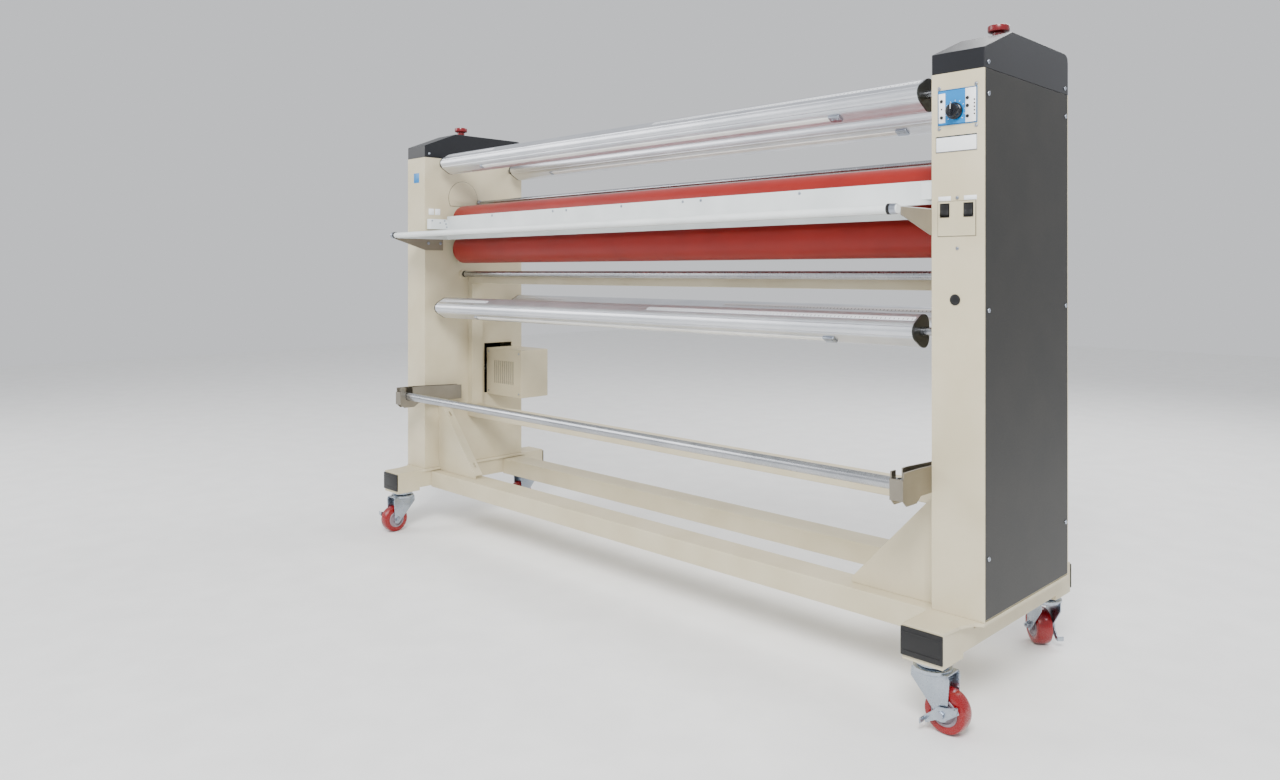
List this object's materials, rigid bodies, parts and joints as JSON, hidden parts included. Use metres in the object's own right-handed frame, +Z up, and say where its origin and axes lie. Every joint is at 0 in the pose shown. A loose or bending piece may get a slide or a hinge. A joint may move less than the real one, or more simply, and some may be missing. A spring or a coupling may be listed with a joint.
{
  "type": "roll laminator",
  "caption": "Wide free-standing roll laminator: two end towers, silicone nip rollers that lift, core shafts, feed table with tilting guard, control panel, braked casters.",
  "frame": {"origin": "on the floor, under the centre of the machine's bounding box", "axes": "+X to the operator's right along the rollers, +Y from the feed side to the rear, +Z up"},
  "size_m": [2, 0.6518, 1.3293],
  "materials": {
    "powder_coat_cream": "textured powder coat",
    "powder_coat_dark": "textured dark powder coat",
    "powder_coat_white": "smooth white powder coat",
    "silicone_red": "ground silicone",
    "steel_turned": "turned and polished",
    "aluminium_profile": "extruded, natural",
    "zinc_steel": "bright zinc plate",
    "polyurethane_red": "moulded, glossy",
    "bracket_paint": "satin grey-brown paint",
    "stop_red": "moulded, satin",
    "black_plastic": "moulded",
    "overlay": "printed blue and white film",
    "switch_surround": "satin",
    "motor_casting": "painted casting"
  },
  "bodies": {
    "chassis": {"left_tower_frame": "powder_coat_cream", "left_side_cover": "powder_coat_dark", "left_top_cap": "powder_coat_dark", "left_foot": "powder_coat_cream", "left_gusset": "powder_coat_cream", "left_table_bracket": "bracket_paint", "left_bar_bracket": "bracket_paint", "right_tower_frame": "powder_coat_cream", "right_side_cover": "powder_coat_dark", "right_top_cap": "powder_coat_dark", "right_foot": "powder_coat_cream", "right_gusset": "powder_coat_cream", "right_table_bracket": "bracket_paint", "right_bar_bracket": "bracket_paint", "front_base_beam": "powder_coat_cream", "rear_base_beam": "powder_coat_cream", "upper_cross_tube": "powder_coat_cream", "lower_cross_tube": "powder_coat_cream", "wall_channel": "powder_coat_cream", "motor_cover": "powder_coat_cream", "drive_motor": "motor_casting", "feed_table": "powder_coat_white", "control_panel": "overlay", "switch_plate": "switch_surround"},
    "lift_carriage": {"left_lift_block": "motor_casting", "right_lift_block": "motor_casting"},
    "upper_roller": {"upper_roller_shaft": "steel_turned", "upper_roller_sleeve": "silicone_red"},
    "lower_roller": {"lower_roller_shaft": "steel_turned", "lower_roller_sleeve": "silicone_red"},
    "motor_output": {"motor_sprocket": "steel_turned"},
    "upper_front_core_shaft_body": {"upper_front_core_shaft": "aluminium_profile"},
    "upper_rear_core_shaft_body": {"upper_rear_core_shaft": "aluminium_profile"},
    "lower_front_core_shaft_body": {"lower_front_core_shaft": "aluminium_profile"},
    "lower_rear_core_shaft_body": {"lower_rear_core_shaft": "aluminium_profile"},
    "nip_guard_body": {"nip_guard": "powder_coat_white"},
    "idler_body": {"idler_bar": "steel_turned"},
    "guide_bar_body": {"lower_guide_bar": "steel_turned"},
    "left_stop_body": {"left_emergency_stop": "stop_red"},
    "right_stop_body": {"right_emergency_stop": "stop_red"},
    "knob_body": {"speed_knob": "black_plastic"},
    "start_button_body": {"start_button": "black_plastic"},
    "stop_button_body": {"stop_button": "black_plastic"},
    "up_button_body": {"up_button": "black_plastic"},
    "down_button_body": {"down_button": "black_plastic"},
    "mode_button_body": {"mode_button": "black_plastic"},
    "heater_rocker_body": {"heater_rocker": "black_plastic"},
    "power_rocker_body": {"power_rocker": "black_plastic"},
    "front_left_swivel_body": {"front_left_caster_fork": "zinc_steel"},
    "front_left_wheel_body": {"front_left_caster_wheel": "polyurethane_red"},
    "front_left_lever_body": {"front_left_brake_lever": "zinc_steel"},
    "front_right_swivel_body": {"front_right_caster_fork": "zinc_steel"},
    "front_right_wheel_body": {"front_right_caster_wheel": "polyurethane_red"},
    "front_right_lever_body": {"front_right_brake_lever": "zinc_steel"},
    "rear_left_swivel_body": {"rear_left_caster_fork": "zinc_steel"},
    "rear_left_wheel_body": {"rear_left_caster_wheel": "polyurethane_red"},
    "rear_left_lever_body": {"rear_left_brake_lever": "zinc_steel"},
    "rear_right_swivel_body": {"rear_right_caster_fork": "zinc_steel"},
    "rear_right_wheel_body": {"rear_right_caster_wheel": "polyurethane_red"},
    "rear_right_lever_body": {"rear_right_brake_lever": "zinc_steel"}
  },
  "joints": [
    {"name": "nip_lift", "type": "slide", "parent": "chassis", "child": "lift_carriage", "axis": [0, 0, 1], "range_m": [0, 0.028]},
    {"name": "lower_roller_spin", "type": "hinge", "parent": "chassis", "child": "lower_roller", "pos_m": [0, -0.0539, 0.912], "axis": [1, 0, 0], "continuous": true},
    {"name": "upper_roller_spin", "type": "hinge", "parent": "lift_carriage", "child": "upper_roller", "pos_m": [0, -0.0539, 1.008], "axis": [1, 0, 0], "continuous": true},
    {"name": "motor_spin", "type": "hinge", "parent": "chassis", "child": "motor_output", "pos_m": [-0.95, 0.1061, 0.496], "axis": [1, 0, 0], "continuous": true},
    {"name": "upper_front_core_shaft_spin", "type": "hinge", "parent": "chassis", "child": "upper_front_core_shaft_body", "pos_m": [0, -0.1289, 1.189], "axis": [1, 0, 0], "continuous": true},
    {"name": "upper_rear_core_shaft_spin", "type": "hinge", "parent": "chassis", "child": "upper_rear_core_shaft_body", "pos_m": [0, 0.1511, 1.189], "axis": [1, 0, 0], "continuous": true},
    {"name": "lower_front_core_shaft_spin", "type": "hinge", "parent": "chassis", "child": "lower_front_core_shaft_body", "pos_m": [0, -0.1489, 0.718], "axis": [1, 0, 0], "continuous": true},
    {"name": "lower_rear_core_shaft_spin", "type": "hinge", "parent": "chassis", "child": "lower_rear_core_shaft_body", "pos_m": [0, 0.1511, 0.721], "axis": [1, 0, 0], "continuous": true},
    {"name": "guard_tilt", "type": "hinge", "parent": "chassis", "child": "nip_guard_body", "pos_m": [0, -0.1739, 0.991], "axis": [1, 0, 0], "range_deg": [0, 70]},
    {"name": "idler_spin", "type": "hinge", "parent": "chassis", "child": "idler_body", "pos_m": [0, -0.0469, 0.828], "axis": [1, 0, 0], "continuous": true},
    {"name": "guide_bar_spin", "type": "hinge", "parent": "chassis", "child": "guide_bar_body", "pos_m": [0, -0.2689, 0.437], "axis": [1, 0, 0], "continuous": true},
    {"name": "left_stop_press", "type": "slide", "parent": "chassis", "child": "left_stop_body", "axis": [0, 0, -1], "range_m": [0, 0.004], "stiffness_N_per_m": 1500, "springref_m": -0.001},
    {"name": "right_stop_press", "type": "slide", "parent": "chassis", "child": "right_stop_body", "axis": [0, 0, -1], "range_m": [0, 0.004], "stiffness_N_per_m": 1500, "springref_m": -0.001},
    {"name": "knob_turn", "type": "hinge", "parent": "chassis", "child": "knob_body", "pos_m": [0.9435, -0.1939, 1.137], "axis": [0, 1, 0], "range_deg": [-135, 135]},
    {"name": "start_button_press", "type": "slide", "parent": "chassis", "child": "start_button_body", "axis": [0, 1, 0], "range_m": [0, 0.0015], "stiffness_N_per_m": 400, "springref_m": -0.0005},
    {"name": "stop_button_press", "type": "slide", "parent": "chassis", "child": "stop_button_body", "axis": [0, 1, 0], "range_m": [0, 0.0015], "stiffness_N_per_m": 400, "springref_m": -0.0005},
    {"name": "up_button_press", "type": "slide", "parent": "chassis", "child": "up_button_body", "axis": [0, 1, 0], "range_m": [0, 0.0015], "stiffness_N_per_m": 400, "springref_m": -0.0005},
    {"name": "down_button_press", "type": "slide", "parent": "chassis", "child": "down_button_body", "axis": [0, 1, 0], "range_m": [0, 0.0015], "stiffness_N_per_m": 400, "springref_m": -0.0005},
    {"name": "mode_button_press", "type": "slide", "parent": "chassis", "child": "mode_button_body", "axis": [0, 1, 0], "range_m": [0, 0.0015], "stiffness_N_per_m": 400, "springref_m": -0.0005},
    {"name": "heater_rocker_tip", "type": "hinge", "parent": "chassis", "child": "heater_rocker_body", "pos_m": [0.9225, -0.1899, 0.952], "axis": [1, 0, 0], "range_deg": [0, 12]},
    {"name": "power_rocker_tip", "type": "hinge", "parent": "chassis", "child": "power_rocker_body", "pos_m": [0.9695, -0.1899, 0.952], "axis": [1, 0, 0], "range_deg": [0, 12]},
    {"name": "front_left_swivel", "type": "hinge", "parent": "chassis", "child": "front_left_swivel_body", "pos_m": [-0.93, -0.2559, 0.091], "axis": [0, 0, 1], "continuous": true},
    {"name": "front_left_wheel_spin", "type": "hinge", "parent": "front_left_swivel_body", "child": "front_left_wheel_body", "pos_m": [-0.93, -0.2859, 0.04], "axis": [1, 0, 0], "continuous": true},
    {"name": "front_left_brake", "type": "hinge", "parent": "front_left_swivel_body", "child": "front_left_lever_body", "pos_m": [-0.93, -0.2859, 0.04], "axis": [1, 0, 0], "range_deg": [0, 18]},
    {"name": "front_right_swivel", "type": "hinge", "parent": "chassis", "child": "front_right_swivel_body", "pos_m": [0.93, -0.2559, 0.091], "axis": [0, 0, 1], "continuous": true},
    {"name": "front_right_wheel_spin", "type": "hinge", "parent": "front_right_swivel_body", "child": "front_right_wheel_body", "pos_m": [0.96, -0.2559, 0.04], "axis": [0, 1, 0], "continuous": true},
    {"name": "front_right_brake", "type": "hinge", "parent": "front_right_swivel_body", "child": "front_right_lever_body", "pos_m": [0.96, -0.2559, 0.04], "axis": [0, 1, 0], "range_deg": [0, 18]},
    {"name": "rear_left_swivel", "type": "hinge", "parent": "chassis", "child": "rear_left_swivel_body", "pos_m": [-0.93, 0.2531, 0.091], "axis": [0, 0, 1], "continuous": true},
    {"name": "rear_left_wheel_spin", "type": "hinge", "parent": "rear_left_swivel_body", "child": "rear_left_wheel_body", "pos_m": [-0.93, 0.2231, 0.04], "axis": [1, 0, 0], "continuous": true},
    {"name": "rear_left_brake", "type": "hinge", "parent": "rear_left_swivel_body", "child": "rear_left_lever_body", "pos_m": [-0.93, 0.2231, 0.04], "axis": [1, 0, 0], "range_deg": [0, 18]},
    {"name": "rear_right_swivel", "type": "hinge", "parent": "chassis", "child": "rear_right_swivel_body", "pos_m": [0.93, 0.2531, 0.091], "axis": [0, 0, 1], "continuous": true},
    {"name": "rear_right_wheel_spin", "type": "hinge", "parent": "rear_right_swivel_body", "child": "rear_right_wheel_body", "pos_m": [0.90879, 0.27431, 0.04], "axis": [-0.7071, -0.7071, 0], "continuous": true},
    {"name": "rear_right_brake", "type": "hinge", "parent": "rear_right_swivel_body", "child": "rear_right_lever_body", "pos_m": [0.90879, 0.27431, 0.04], "axis": [-0.7071, -0.7071, 0], "range_deg": [0, 18]}
  ],
  "couplings": [
    {"joint": "upper_roller_spin", "follows": "lower_roller_spin", "ratio": -1},
    {"joint": "motor_spin", "follows": "lower_roller_spin", "ratio": 2}
  ]
}
